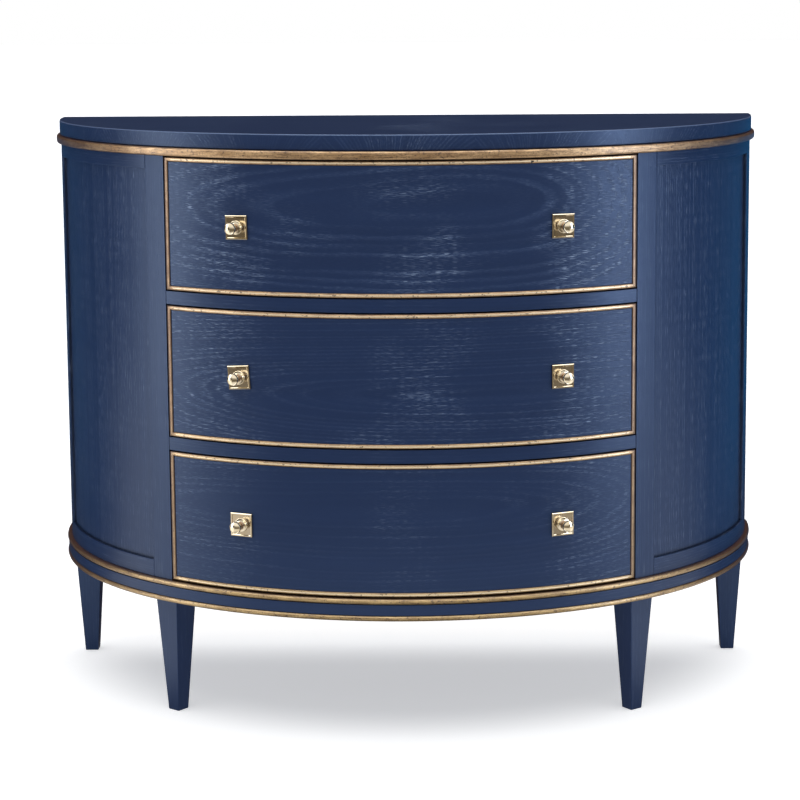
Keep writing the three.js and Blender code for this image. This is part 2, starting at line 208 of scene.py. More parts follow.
# %% [markdown]
# ## Navy paint over open-grained oak
# The painter left oak's grain open. Rings of large pores show through the paint as short pale
# dashes, strongest where a ring meets the surface at a low angle. A photograph of wood would do,
# but a pattern made by nodes has no seams and no size limit. The trick is a ring coordinate: the
# distance from the heart of the plank, which gives straight lines far from the heart and ovals
# close to it. Pores are stretched noise, laid out along the grain and kept near each ring.


# %% Rings and pores of oak
def oak(finish, place, ring_width=0.011, dash=(1, 1)):
    """Returns masks of pores, wide flecks, the soft part of each ring, fibres and slow tone."""
    along, across, inward = finish.parts(place)
    sway = finish.noise(place, (3.0, 7.0, 7.0), 1.0)
    ripple = finish.noise(place, (18.0, 60.0, 60.0), 1.0)
    bow = along * along * (0.25 + 0.95 * finish.step(along, -0.1, 0.1))
    from_heart = (across * across + (bow + 0.03) * (bow + 0.03)) ** 0.5
    ring = from_heart + (sway - 0.5) * 0.02 + (ripple - 0.5) * 0.005
    by_ring = finish.node("CombineXYZ", {}, {0: along, 1: ring, 2: inward})
    year = (ring / ring_width).fraction()
    good_years = finish.step(finish.noise(by_ring, (2.0, 0.66 / ring_width, 6.0), 1.0), 0.35, 0.6)
    early = finish.step(year, 0.0, 0.2) * (1 - finish.step(year, 0.3, 0.75)) * good_years
    drift = across + (sway - 0.5) * 0.02 + (ripple - 0.5) * 0.003
    by_grain = finish.node("CombineXYZ", {}, {0: along, 1: drift, 2: inward})
    short = finish.noise(by_grain, (120.0 * dash[0], 1500.0 * dash[1], 500.0), 1.0, 0.6)
    wide = finish.noise(by_grain, (90.0 * dash[0], 1000.0 * dash[1], 300.0), 0.0)
    pores = finish.step(short, 0.5, 0.66) * (early * 0.8 + 0.2)
    flecks = finish.step(wide, 0.6, 0.72) * (early * 0.8 + 0.2)
    fibres = finish.noise(by_grain, (22.0, 1400.0, 700.0), 2.0, 0.7)
    tone = finish.noise(by_grain, (2.5, 30.0, 30.0), 2.0, 0.5)
    return pores, flecks, early, fibres, tone


# %% [markdown]
# A painted chest isn't the same everywhere. Pale flecks are strongest in the middle of the front,
# towards its ends and on the right, in slow drifts: partly grain and partly painted glints where
# the highlights fall. The edges against the wall were filled before painting. Painted shade
# darkens what lies below a board's face and the corner where a panel meets its bottom rail, and a
# painted highlight runs pale along the arris of the top. Each of these is a small function that
# takes the paint and gives it back changed.


# %% Wear and dirt on the paint
def fleck_and_glint_patches(finish, east):
    # Where pale flecks are strongest: partly grain, partly painted glints where the highlights
    # fall.
    aside = (east - 0.01).absolute()
    fleck_and_glint_zones = finish.step(aside, 0.18, 0.3) + 0.4 - finish.step(aside, 0.02, 0.12) * 0.4
    fleck_and_glint_zones = fleck_and_glint_zones + finish.step(east, 0.15, 0.26) * 0.5
    drift = finish.noise(finish.object_place(), (8.0, 8.0, 14.0), 2.0)
    return finish.step((drift - 0.5) * 0.6 + fleck_and_glint_zones * 0.25, 0.0, 0.28)


def painted_recess_shade(finish, paint, up, corner):
    # Painted shade: darker below a board's face and in the corner over a panel's bottom rail.
    _, _, out = finish.parts(finish.plank_place())
    recess_shade = 1 - finish.step(out, -0.003, -0.0006)
    if corner:
        recess_shade = recess_shade + (1 - finish.step(up, corner, corner + 0.005)) * 0.8
    return finish.mix(recess_shade * 0.7, paint, colour(10, 14, 24))


def painted_arris_highlight(finish, paint, up, arris):
    # A painted highlight: a pale line along the rounded arris of the top.
    brightness = finish.step(up, arris - 0.0019, arris - 0.0013)
    brightness = brightness * (1 - finish.step(up, arris - 0.0005, arris - 0.0001))
    return finish.mix(brightness * 0.5, paint, colour(120, 138, 172))


# %% Navy paint
def painted_oak(
    name, place_of, open_pores, ring_width=0.011, dash=(1, 1), relief=0.5, corner=None, arris=None
):
    """Pores go from 0, filled, to about 1, open. A corner and an arris are given by height."""
    finish = Finish(bpy.data.materials.new(name))
    pores, flecks, early, fibres, tone = oak(finish, place_of(finish), ring_width, dash)
    east, north, up = finish.parts(finish.object_place())
    open_pores = (1 - finish.step(north, 0.22, 0.24) * 0.75) * open_pores
    if arris:
        open_pores = (1.3 - finish.step((east - 0.01).absolute(), 0.08, 0.25)) * open_pores
    patches = fleck_and_glint_patches(finish, east)
    figure = pores * (0.15 + patches * 0.85) * open_pores
    flecks_and_glints = flecks * patches * open_pores
    paint = finish.mix(tone, colour(24, 39, 72), colour(30, 47, 83))
    paint = finish.mix(early * 0.14 * open_pores, paint, colour(58, 76, 112))
    paint = finish.mix(figure * 0.55, paint, colour(112, 132, 165))
    # Pale flecks: grain, and in the patches partly painted glints.
    paint = finish.mix(flecks_and_glints * 0.72, paint, colour(160, 178, 206))
    if place_of == Finish.plank_place:
        paint = painted_recess_shade(finish, paint, up, corner)
    if arris:
        paint = painted_arris_highlight(finish, paint, up, arris)
    finish.set(Base_Color=paint, Roughness=0.31 + figure * 0.12 - tone * 0.04)
    finish.set(Specular_IOR_Level=0.5, Specular_Tint=(0.5, 0.68, 1.0, 1.0))
    finish.bump(0.5 * fibres + figure * 1.1 + flecks_and_glints + early * 0.2, 0.0004, relief)
    return finish.material


# %% The paint on each kind of board
front_patterns = {
    "bottom": (0.36, 0.009, (1.6, 0.9)),
    "middle": (0.66, 0.0075, (2.1, 0.7)),
    "top": (1.1, 0.011, (1, 1.1)),
}
navy_fronts = {
    name: painted_oak(f"navy_paint_{name}_front", Finish.plank_place, *pattern)
    for name, pattern in front_patterns.items()
}
navy_boards = painted_oak("navy_paint_on_boards", Finish.plank_place, 0.25, relief=0.3)
navy_small = painted_oak("navy_paint_filled_pores", Finish.plank_place, 0.2, relief=0.25)
navy_legs = painted_oak("navy_paint_on_legs", Finish.plank_place, 0.08, relief=0.15)
navy_inside = painted_oak("navy_paint_inside", Finish.object_place, 0.5)
print("navy paint:", len(navy_boards.node_tree.nodes), "nodes")

# %% [markdown]
# ## Antique gilding
# The mouldings carry metal leaf over a brown ground, rubbed and toned with a thin dark glaze.
# Pure yellow metal looks new, so three layers are mixed: pale leaf, warmer leaf in drifts, and
# brown specks with a few chips where the ground shows. Where the ground shows there is no metal,
# so the same masks lower Metallic. The hollows and the edges of the band and beads are dark brown,
# partly glaze and partly painted shade, and the crown of a cock bead's crosspieces gets a painted
# highlight, so each gilt piece says in its attribute `plank` how far every corner stands out. The
# cloth ran along the mouldings and left fine strokes. Towards the wall the leaf is painted a
# darker brown, a painted dark reflection, and the mouldings near the floor have a greener leaf.
# A coat of clear lacquer seals it all: the shader's Coat adds its whitish glint without changing
# the metal below.

# %% Gilding: glaze, specks and chips
gilding = Finish(bpy.data.materials.new("antique_gilding"))
spot = gilding.object_place()
_, north, height = gilding.parts(spot)
_, _, proud = gilding.parts(gilding.plank_place())
drift = gilding.noise(spot, (30.0, 30.0, 60.0), 3.0, 0.6)
strokes = gilding.noise(gilding.plank_place(), (45.0, 700.0, 1.5), 2.0, 0.6)
grit = gilding.noise(spot, (330.0, 330.0, 420.0), 3.0, 0.7)
speck = gilding.noise(spot, (230.0, 230.0, 280.0), 1.0)
chip = gilding.noise(spot, (50.0, 50.0, 110.0), 2.0, 0.7)
glaze = gilding.step(grit * 0.45 + strokes * 0.55, 0.42, 0.62)
specks = gilding.step(speck, 0.63, 0.69)
chips = gilding.step(chip, 0.73, 0.76)
# Dark hollows and edges of band and beads: partly glaze, partly painted shade.
hollow = 1 - gilding.step(proud + (grit - 0.5) * 0.4, 0.5, 0.95)
# A painted highlight on the crown of a cock bead.
crown = gilding.step(proud, 1.02, 1.09)
near_floor = 1 - gilding.step(height, 0.15, 0.6)
# A painted dark reflection towards the wall.
dark_reflection_near_wall = gilding.step(north, -0.2, 0.2)
print("patterns of the gilding:", len(gilding.tree.nodes), "nodes")

# %% Gilding: layers of colour
leaf = gilding.mix(gilding.step(drift, 0.35, 0.65), colour(208, 174, 131), colour(172, 138, 97))
leaf = gilding.mix(near_floor * 0.5, leaf, colour(184, 164, 104))
leaf = gilding.mix(glaze * 0.75, leaf, colour(102, 76, 54))
leaf = gilding.mix(hollow * 0.9, leaf, colour(74, 48, 36))
leaf = gilding.mix(dark_reflection_near_wall * 0.75, leaf, colour(104, 64, 54))
leaf = gilding.mix(crown * 0.85, leaf, colour(255, 238, 205))
leaf = gilding.mix(specks * 0.7, leaf, colour(66, 42, 34))
leaf = gilding.mix(chips, leaf, colour(36, 24, 24))
bare = specks * 0.5 + chips * 0.6
gilding.set(Base_Color=leaf, Metallic=0.82 - bare * 0.5 - hollow * 0.2)
gilding.set(Roughness=0.34 + grit * 0.2, Coat_Weight=0.8, Coat_Roughness=0.3)
gilding.bump(grit * 0.6 + speck * 0.5 - chips, 0.0004, 0.5)
gilt = gilding.material
print("gilding:", len(gilt.node_tree.nodes), "nodes")

# %% [markdown]
# ## Polished brass
# The knobs and plates are bright brass. Brass takes its look from what it mirrors, so the finish
# needs the right colour, a low roughness with faint polishing marks, and a hint of tarnish. Old
# polish stays brown where no cloth reaches, in a neck. The foot of a plate, its sunk field and
# the band just under a knob's head are browned too, as painted shade. Each brass piece says in
# its attribute `plank` how bright every corner is, from 0 to 1.

# %% Brass
polished = Finish(bpy.data.materials.new("polished_brass"))
spot = polished.object_place()
tarnish = polished.noise(spot, (60.0, 60.0, 60.0), 3.0)
marks = polished.noise(spot, (300.0, 300.0, 3000.0), 2.0)
_, _, brightness = polished.parts(polished.plank_place())
# Brown: old polish in a neck, and painted shade at a plate's foot, in its field and under a knob's
# head.
residue_and_shade = 1 - polished.step(brightness + (tarnish - 0.5) * 0.3, 0.0, 1.0)
clouded = polished.step(tarnish, 0.4, 0.75)
metal = polished.mix(clouded, colour(230, 219, 196), colour(212, 197, 166))
metal = polished.mix(residue_and_shade * 0.9, metal, colour(96, 62, 34))
polished.set(Base_Color=metal, Metallic=1.0, Roughness=0.06 + marks * 0.05 + residue_and_shade * 0.12)
polished.bump(marks, 0.00005, 0.2)
brass = polished.material
print("brass:", len(brass.node_tree.nodes), "nodes")

# %% [markdown]
# ## Plain wood inside
# Drawer boxes, partitions and the back panel are bare pale wood, sanded and waxed. The rings and
# pores are the same as under the paint, in browns and with little relief. These boards keep the
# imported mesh, so their plank is found from Object coordinates: a Mapping node turns the grain to
# the way that each kind of board runs.


# %% Plain wood
def plain_wood(name, turn):
    finish = Finish(bpy.data.materials.new(name))
    place = finish.node("Mapping", {}, {"Vector": finish.object_place(), "Rotation": turn})
    place = finish.node("VectorMath", {"operation": "ADD"}, {0: place, 1: (0.2, 0.7, 0.3)})
    place = finish.stretch(place, (0.45, 1.0, 1.0))
    pores, _, early, fibres, tone = oak(finish, place, 0.006, (2.2, 1))
    wood = finish.mix(tone, colour(206, 176, 132), colour(186, 150, 104))
    wood = finish.mix(early * 0.35, wood, colour(164, 124, 80))
    wood = finish.mix(pores * 0.3, wood, colour(126, 90, 56))
    finish.set(Base_Color=wood, Roughness=0.55 + fibres * 0.12)
    finish.bump(fibres * 0.4 - pores, 0.0002, 0.3)
    return finish.material


quarter = math.pi / 2
wood_lying = plain_wood("plain_wood_lying", (0.0, 0.0, 0.0))
wood_standing = plain_wood("plain_wood_standing", (quarter, 0.0, 0.0))
wood_along_depth = plain_wood("plain_wood_along_depth", (0.0, quarter, quarter))
wood_upright = plain_wood("plain_wood_upright", (0.0, quarter, 0.0))
print("plain wood:", len(wood_upright.node_tree.nodes), "nodes each")

# %% [markdown]
# ## Sizes of the chest
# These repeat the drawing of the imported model. The plan is half an ellipse, and every curved
# surface is a nested one, so one number, the offset, says how far it stands out. Pieces that
# touch keep the drawing's fine clearance between them, the `seat`.

# %% Sizes
half_width, depth = 551, 488
seat = 0.3
base_bottom = 175 + seat
bead_height, base_band_height = 8.3, 15.8
base_top = base_bottom + 2 * bead_height + base_band_height + 2 * seat
front_height, drawer_gap, rail_height = 194, 2, 19.5
pitch = front_height + 2 * drawer_gap + rail_height
carcase_top = base_top + 3 * pitch - rail_height
band_height, top_thickness, top_overhang = 12.2, 23.2, 2
top_bottom = carcase_top + band_height + seat
opening_half_width = 344.5
stile_width, side_thickness = 29.5, 22
trim_rebate, moulding_out, base_band_out = 8, 7, 5.4
drawers = ("bottom", "middle", "top")
front_bottoms = {name: base_top + i * pitch + drawer_gap for i, name in enumerate(drawers)}
mean_radius = (half_width + depth) / 2
back_shift = cad_box[0].y * -1000
print("heights: base", round(base_top, 1), "carcase", round(carcase_top, 1), "back at", back_shift)


def angle_at(x, offset=0):
    return math.acos(x / (half_width + offset))


def front_at(x, offset=0):
    return -(depth + offset) * math.sin(angle_at(x, offset))


# %% [markdown]
# ## From workbench to chest
# Every piece ends the same way: its corners are joined, its faces turned outwards, and its
# object is made at the origin with the place in its mesh. Each piece also gets the attribute
# `plank`, which says where every corner lay in the plank it was sawn from. The paint reads
# it, so grain follows a curve instead of cutting through it.
# Sharp machine edges look false, so boards get a fine Bevel, and Weighted Normal keeps
# their faces flat.


# %% How boards were sawn
def round_the_curve(spot, facing):
    """Where a point lies when the curved front is unrolled: round, up and out, in metres."""
    around = math.atan2(spot.x / half_width, -spot.y / depth) * mean_radius
    out = (math.hypot(spot.x / half_width, spot.y / depth) - 1) * mean_radius
    return Vector((around, spot.z, out)) / 1000


def up_the_curve(spot, facing):
    around, up, out = round_the_curve(spot, facing)
    return Vector((up, around, out))


def flat_board(spot, facing):
    return spot / 1000


def out_to_crown(crown):
    """Round, up, and how far out: 0 at the board, 1 at the crown of a moulding."""
    def lay(spot, facing):
        around, up, out = round_the_curve(spot, facing)
        return Vector((around, up, out * 1000 / crown))

    return lay


# %% Eased edges
def soften(piece, width):
    bevel = piece.modifiers.new("eased edges", "BEVEL")
    bevel.width = width / 1000
    bevel.segments = 2
    bevel.limit_method = "ANGLE"
    bevel.angle_limit = math.radians(35)
    normals = piece.modifiers.new("flat faces", "WEIGHTED_NORMAL")
    normals.keep_sharp = False


# %% Finishing a piece
def finish_piece(
    name, bm, material, body, nodes, ease=0.0, lay=flat_board, heart=(0, 0.6),
    squeeze=(1, 1), recess=0,
):
    """The ovals of the grain lie round the heart, and the squeeze makes them small or wide. The
    recess says how far the whole board lies behind the curve."""
    bmesh.ops.remove_doubles(bm, verts=bm.verts, dist=0.001)
    bmesh.ops.recalc_face_normals(bm, faces=bm.faces)
    open_edges = sum(not edge.is_manifold for edge in bm.edges)
    plank = bm.loops.layers.float_vector.new("plank")
    scale = Vector((*squeeze, 1))
    start = Vector((*heart, -recess / 1000))
    for face in bm.faces:
        for loop in face.loops:
            loop[plank] = (lay(loop.vert.co, face.normal) - start) * scale
    bmesh.ops.translate(bm, vec=(0, back_shift, 0), verts=bm.verts)
    bmesh.ops.scale(bm, vec=(0.001, 0.001, 0.001), verts=bm.verts)
    mesh = bpy.data.meshes.new(name)
    bm.to_mesh(mesh)
    bm.free()
    mesh.shade_smooth()
    piece = bpy.data.objects.new(name, mesh)
    scene.collection.objects.link(piece)
    mesh.materials.append(material)
    if ease:
        soften(piece, ease)
    else:
        mesh.set_sharp_from_angle(angle=math.radians(40))
    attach(piece, body)
    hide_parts(*nodes)
    print(name, "has", len(mesh.polygons), "faces and", open_edges, "open edges")


# %% [markdown]
# ## Mouldings that run round the curve
# A moulding is one profile carried round the front. The `spin` operator does that on a circle,
# and the plan here is an ellipse, so each corner is then moved in to its own nested ellipse.
# Because nested ellipses differ only by the offset, this keeps every profile true.


# %% Spin a profile round the front
def profile_face(points):
    """A bmesh that holds one upright face, from pairs of offset and height."""
    bm = bmesh.new()
    bm.faces.new([bm.verts.new((half_width + offset, 0, height)) for offset, height in points])
    return bm


def round_corners(bm, radius, segments, chosen):
    corners = [v for v in bm.verts if chosen(v.co.x - half_width, v.co.z)]
    bmesh.ops.bevel(
        bm, geom=corners, offset=radius, offset_type="OFFSET", affect="VERTICES",
        segments=segments, profile=0.5, material=-1, clamp_overlap=True,
    )


def carry_round(bm, start=0.0, end=math.pi, steps_in_half_turn=144):
    everything = bm.verts[:] + bm.edges[:] + bm.faces[:]
    bmesh.ops.rotate(bm, verts=bm.verts, cent=(0, 0, 0), matrix=Matrix.Rotation(-start, 3, "Z"))
    steps = max(2, round((end - start) / math.pi * steps_in_half_turn))
    bmesh.ops.spin(
        bm, geom=everything, cent=(0, 0, 0), axis=(0, 0, -1), angle=end - start, steps=steps,
    )
    for corner in bm.verts:
        radius = math.hypot(corner.co.x, corner.co.y)
        corner.co.y *= 1 - (half_width - depth) / radius
    return bm


def box_profile(inner, outer, bottom, top):
    return profile_face([(inner, bottom), (outer, bottom), (outer, top), (inner, top)])


# %% The gilt band under the top
band = box_profile(seat - trim_rebate, moulding_out, carcase_top, carcase_top + band_height)
round_corners(band, 3, 5, lambda offset, height: offset > 0)
finish_piece(
    "gilt_band", carry_round(band), gilt, "carcase", ["top_gilt_band"], lay=out_to_crown(7.6)
)


# %% The base: a gilt bead, a painted band and a gilt bead
def gilt_bead(name, bottom, node):
    bead = box_profile(seat - trim_rebate, moulding_out, bottom, bottom + bead_height)
    round_corners(bead, bead_height / 2 - 0.01, 7, lambda offset, height: offset > 0)
    finish_piece(name, carry_round(bead), gilt, "carcase", [node], lay=out_to_crown(8))


base_band_bottom = base_bottom + bead_height + seat
base_band_top = base_band_bottom + base_band_height
gilt_bead("lower_gilt_bead", base_bottom, "base_bead_lower")
gilt_bead("upper_gilt_bead", base_band_top + seat, "base_bead_upper")
base_band = box_profile(seat - trim_rebate, base_band_out, base_band_bottom, base_band_top)
finish_piece(
    "painted_base_band", carry_round(base_band), navy_small, "carcase",
    ["base_band"], ease=0.5, lay=round_the_curve, heart=(0.3, 0.9), squeeze=(0.5, 2.2),
)

# %% [markdown]
# ## The top
# The top is a thick half-round board. A disc is the quickest start: cut it along the back with
# `bisect_plane`, pull it up to its thickness, and press the half circle into the half ellipse.


# %% Pull a face out into a solid
def pull(bm, faces, way):
    """Extrudes faces by a vector. A lone face becomes a solid, one on a solid grows out of it."""
    on_solid = all(edge.is_manifold for face in faces for edge in face.edges)
    made = bmesh.ops.extrude_face_region(bm, geom=faces)["geom"]
    if on_solid:
        bmesh.ops.delete(bm, geom=faces, context="FACES_ONLY")
    corners = [part for part in made if isinstance(part, bmesh.types.BMVert)]
    bmesh.ops.translate(bm, verts=corners, vec=way)
    return [part for part in made if isinstance(part, bmesh.types.BMFace)]


# %% Veneer on the edge of the top
sheet_turn, sheet_width, fan_starts_below = 0.36, 0.187, 0.075


def veneered_edge(spot, facing):
    """The flat of the board runs across the chest. Its edge has sheets of upright veneer, with
    grain that fans out from a point under each sheet."""
    if abs(facing.z) > 0.5:
        return flat_board(spot, facing)
    around, up, out = round_the_curve(spot, facing)
    sheet = round(math.atan2(facing.x, -facing.y) / sheet_turn)
    aside = around - sheet_width * sheet + 0.01
    above = up - top_bottom / 1000 + fan_starts_below
    fan = math.atan2(aside, above)
    return Vector((3 * math.hypot(aside, above), 0.16 * fan + 0.7 * sheet, out))


# %% The top board
navy_top = painted_oak(
    "navy_paint_on_top", Finish.plank_place, 0.9, relief=0.3,
    arris=(top_bottom + top_thickness) / 1000,
)
top_radius = half_width + top_overhang
top = bmesh.new()
bmesh.ops.create_circle(top, cap_ends=True, radius=top_radius, segments=288)
bmesh.ops.bisect_plane(
    top, geom=top.verts[:] + top.edges[:] + top.faces[:], plane_co=(0, 0, 0), plane_no=(0, 1, 0),
    clear_outer=True,
)
pull(top, top.faces[:], (0, 0, top_thickness))
bmesh.ops.translate(top, verts=top.verts, vec=(0, 0, top_bottom))
bmesh.ops.scale(top, verts=top.verts, vec=(1, (depth + top_overhang) / top_radius, 1))
finish_piece(
    "oak_top", top, navy_top, "carcase", ["top_board"], ease=2.2,
    lay=veneered_edge, heart=(0.2, 0.3), squeeze=(0.8, 1.6),
)

# %% [markdown]
# ## Curved sides
# Each side is a frame of two stiles and two rails round a panel that lies five millimetres back.
# The rear stile, the rails and the panel follow the curve by angle, so they are spun. The joints
# stay as fine lines because every piece is a separate board with its own eased edges. The panel
# has a paint of its own, with painted shade in the corner over its bottom rail.

# %% Sizes of a side
panel_recess, panel_thickness, tongue = 5, 8, 8
rear_stile_depth, bottom_rail_height, top_rail_height = 115, 25.4, 20
side_bottom, side_top = base_top + seat, carcase_top - seat
panel_low, panel_high = side_bottom + bottom_rail_height, side_top - top_rail_height
front_angle = angle_at(opening_half_width + stile_width)
rear_angle = math.asin(rear_stile_depth / depth)


def angle_of(length, angle):
    """The angle that covers a length of the curve."""
    return length / math.hypot(half_width * math.sin(angle), depth * math.cos(angle))


rail_start = rear_angle + angle_of(seat, rear_angle)
rail_end = front_angle - angle_of(seat, front_angle)
panel_start = rear_angle - angle_of(tongue, rear_angle)
panel_end = front_angle + angle_of(tongue, front_angle)
panel_span = [round(math.degrees(angle)) for angle in (panel_start, panel_end)]
print("a panel spans", panel_span, "degrees from the wall")


# %% Stiles and rails of the sides
def side_piece(name, profile, start, end, lay, heart, material=navy_boards, recess=0):
    """Spins one board of a curved side on the right, and its mirror image on the left."""
    spans = {"right": (start, end), "left": (math.pi - end, math.pi - start)}
    for number, (side, span) in enumerate(spans.items()):
        bm = carry_round(box_profile(*profile), *span)
        finish_piece(
            f"oak_{name}_{side}", bm, material, "carcase", [f"{name}_{side}"],
            ease=0.5, lay=lay, heart=(heart[0] + 0.5 * number, heart[1] + 0.37 * number),
            squeeze=(0.35, 2.6), recess=recess,
        )


side_piece(
    "rear_stile", (-side_thickness, 0, side_bottom, side_top), 0, rear_angle, up_the_curve,
    (0.7, 1.9),
)
side_piece(
    "side_top_rail", (-side_thickness, 0, panel_high, side_top), rail_start, rail_end,
    round_the_curve, (0.2, 0.1),
)
side_piece(
    "side_bottom_rail", (-side_thickness, 0, side_bottom, panel_low), rail_start, rail_end,
    round_the_curve, (0.4, 1.3),
)

# %% Panels of the sides
navy_panel = painted_oak(
    "navy_paint_on_panels", Finish.plank_place, 0.42, dash=(1.8, 0.8), relief=0.3,
    corner=panel_low / 1000,
)
panel_profile = (
    -panel_recess - panel_thickness, -panel_recess, panel_low - tongue, panel_high + tongue
)
side_piece(
    "side_panel", panel_profile, panel_start, panel_end, up_the_curve, (0.9, 2.4), navy_panel,
    panel_recess,
)

# %% [markdown]
# ## Boards bowed to the front
# Drawer fronts, rails and the stiles beside them are square-ended across the chest, so they are
# not spun. They are modelled flat, with y standing for the offset, then sawn into narrow strips
# with `bisect_plane`, and each corner is dropped on to its own ellipse.


# %% Bow a flat board
def bow(bm, strip=9):
    """Saws a flat board into strips and bends it. Corners behind the sides' thickness stay."""
    low = min(v.co.x for v in bm.verts)
    high = max(v.co.x for v in bm.verts)
    for number in range(math.ceil(low / strip), math.floor(high / strip) + 1):
        everything = bm.verts[:] + bm.edges[:] + bm.faces[:]
        bmesh.ops.bisect_plane(
            bm, geom=everything, plane_co=(number * strip, 0, 0), plane_no=(1, 0, 0), dist=0.01
        )
    for corner in bm.verts:
        if corner.co.y >= -side_thickness - 0.1:
            corner.co.y = front_at(corner.co.x, corner.co.y)
    return bm


def bowed_board(plan, bottom, height):
    bm = bmesh.new()
    bm.faces.new([bm.verts.new((x, offset, bottom)) for x, offset in plan])
    pull(bm, bm.faces[:], (0, 0, height))
    return bow(bm)


# %% Front stiles and the rails between the drawers
stile_far = opening_half_width + stile_width
stile_inner_far = (half_width - side_thickness) * math.cos(front_angle)
for sign, side in ((1, "right"), (-1, "left")):
    plan = [
        (sign * opening_half_width, 0), (sign * stile_far, 0),
        (sign * stile_inner_far, -side_thickness), (sign * opening_half_width, -side_thickness),
    ]
    finish_piece(
        f"oak_front_stile_{side}", bowed_board(plan, side_bottom, side_top - side_bottom),
        navy_boards, "carcase", [f"front_stile_{side}"], ease=0.5,
        lay=up_the_curve, heart=(0.3 * sign, 1.1 + 0.2 * sign), squeeze=(0.35, 2.6),
    )

rail_half_width, rail_end_depth = opening_half_width - seat, 52
rail_back = front_at(rail_half_width) + rail_end_depth
for number, level in enumerate(("lower", "upper")):
    plan = [
        (-rail_half_width, 0), (rail_half_width, 0),
        (rail_half_width, rail_back), (-rail_half_width, rail_back),
    ]
    rail_bottom = base_top + (number + 1) * pitch - rail_height
    finish_piece(
        f"oak_{level}_rail", bowed_board(plan, rail_bottom, rail_height), navy_small,
        "carcase", [f"drawer_rail_{level}"], ease=0.5, lay=round_the_curve,
        heart=(0.6 * number, 0.2 + number), squeeze=(0.5, 2.2),
    )

# %% [markdown]
# ## Drawer fronts and their cock beads
# The front is a board with a rebate all round, where the gilt bead sits: inset the outer face and
# pull it forward. The bead itself starts as a flat frame, so its corners are mitred for
# free. It is pulled forward, its two front edges are bevelled until they meet in a half circle,
# and the half circle is pressed flatter. No two fronts were sawn from the same spot of a tree,
# so each has its own heart, which says where the ovals of its grain lie, and its own squeeze.

# %% A drawer front
drawer_side_gap, front_thickness = 1.5, 20
drawer_half_width = opening_half_width - drawer_side_gap
bead_width, bead_proud, bead_depth = 6.2, 1.8, 5


def upright_frame(bottom, y):
    """A standing rectangle of the drawer front's size at that offset."""
    bm = bmesh.new()
    bmesh.ops.create_grid(bm, x_segments=1, y_segments=1, size=0.5)
    bmesh.ops.rotate(bm, verts=bm.verts, matrix=Matrix.Rotation(-quarter, 3, "X"))
    bmesh.ops.scale(bm, verts=bm.verts, vec=(2 * drawer_half_width, 1, front_height))
    bmesh.ops.translate(bm, verts=bm.verts, vec=(0, y, bottom + front_height / 2))
    return bm


def inset(bm, faces, thickness, lift=0.0):
    bmesh.ops.inset_region(
        bm, faces=faces, thickness=thickness, depth=lift, use_boundary=True, use_even_offset=True,
    )


def drawer_front(bottom):
    bm = upright_frame(bottom, -front_thickness)
    outer = pull(bm, bm.faces[:], (0, front_thickness - bead_depth - seat, 0))
    inset(bm, outer, bead_width + seat)
    pull(bm, outer, (0, bead_depth + seat, 0))
    return bow(bm)


# %% A cock bead
def bead_shade_and_highlight(spot, facing):
    """Only the crosspieces of a bead get the painted highlight on the crown; its uprights are
    painted darker, a painted shade.
    """
    around, up, out = out_to_crown(bead_proud)(spot, facing)
    if abs(spot.x) > drawer_half_width - bead_width - 1:
        return Vector((up, around, out - 0.27))
    return Vector((around, up, out + 0.06))


def cock_bead(bottom):
    bm = upright_frame(bottom, -bead_depth)
    middle = bm.faces[:]
    inset(bm, middle, bead_width)
    bmesh.ops.delete(bm, geom=middle, context="FACES")
    radius = bead_width / 2
    pull(bm, bm.faces[:], (0, bead_depth + radius, 0))
    rims = [
        edge for edge in bm.edges
        if all(v.co.y > radius - 0.01 for v in edge.verts)
        and min(abs(edge.verts[0].co[i] - edge.verts[1].co[i]) for i in (0, 2)) < 0.01
    ]
    bmesh.ops.bevel(
        bm, geom=rims, offset=radius - 0.005, offset_type="OFFSET", affect="EDGES", segments=5,
        profile=0.5, material=-1,
    )
    for corner in bm.verts:
        if corner.co.y > 0:
            corner.co.y *= bead_proud / radius
    return bow(bm)


# %% Fronts and beads of the three drawers
hearts = {"bottom": (0.03, 0.03), "middle": (0.13, -0.022), "top": (0.08, 0.035)}
squeezes = {"bottom": (0.7, 1.4), "middle": (-0.48, 1.6), "top": (1.0, 1.0)}

for name, bottom in front_bottoms.items():
    body = f"{name}_drawer"
    along, across = hearts[name]
    finish_piece(
        f"oak_{name}_front", drawer_front(bottom), navy_fronts[name], body,
        [f"{name}_drawer_front"], ease=0.4, lay=round_the_curve,
        heart=(along, (bottom + front_height / 2) / 1000 + across), squeeze=squeezes[name],
    )
    finish_piece(
        f"gilt_{name}_bead", cock_bead(bottom), gilt, body,
        [f"{name}_drawer_cock_bead"], lay=bead_shade_and_highlight,
    )

# %% [markdown]
# ## Legs
# The legs are square and taper to half their width. The front pair is turned to face straight
# out of the curve. A cube is shaped by shrinking its foot, and a tenon is pulled out of its top.

# %% A tapered leg
leg_height, leg_top_width, leg_foot_width = 175, 42, 21
leg_inset, tenon_width, tenon_height = 6.7, 15, 24


def tapered_leg(x, y, turn):
    bm = bmesh.new()
    bmesh.ops.create_cube(bm, size=1)
    bmesh.ops.translate(bm, verts=bm.verts, vec=(0, 0, 0.5))
    bmesh.ops.scale(bm, verts=bm.verts, vec=(leg_top_width, leg_top_width, leg_height))
    foot = [v for v in bm.verts if v.co.z < 1]
    shrink = leg_foot_width / leg_top_width
    bmesh.ops.scale(bm, verts=foot, vec=(shrink, shrink, 1))
    head = [f for f in bm.faces if f.calc_center_median().z > leg_height - 1]
    inset(bm, head, (leg_top_width - tenon_width) / 2)
    pull(bm, head, (0, 0, tenon_height))
    bmesh.ops.rotate(bm, verts=bm.verts, matrix=Matrix.Rotation(turn, 3, "Z"))
    bmesh.ops.translate(bm, verts=bm.verts, vec=(x, y, 0))
    return bm


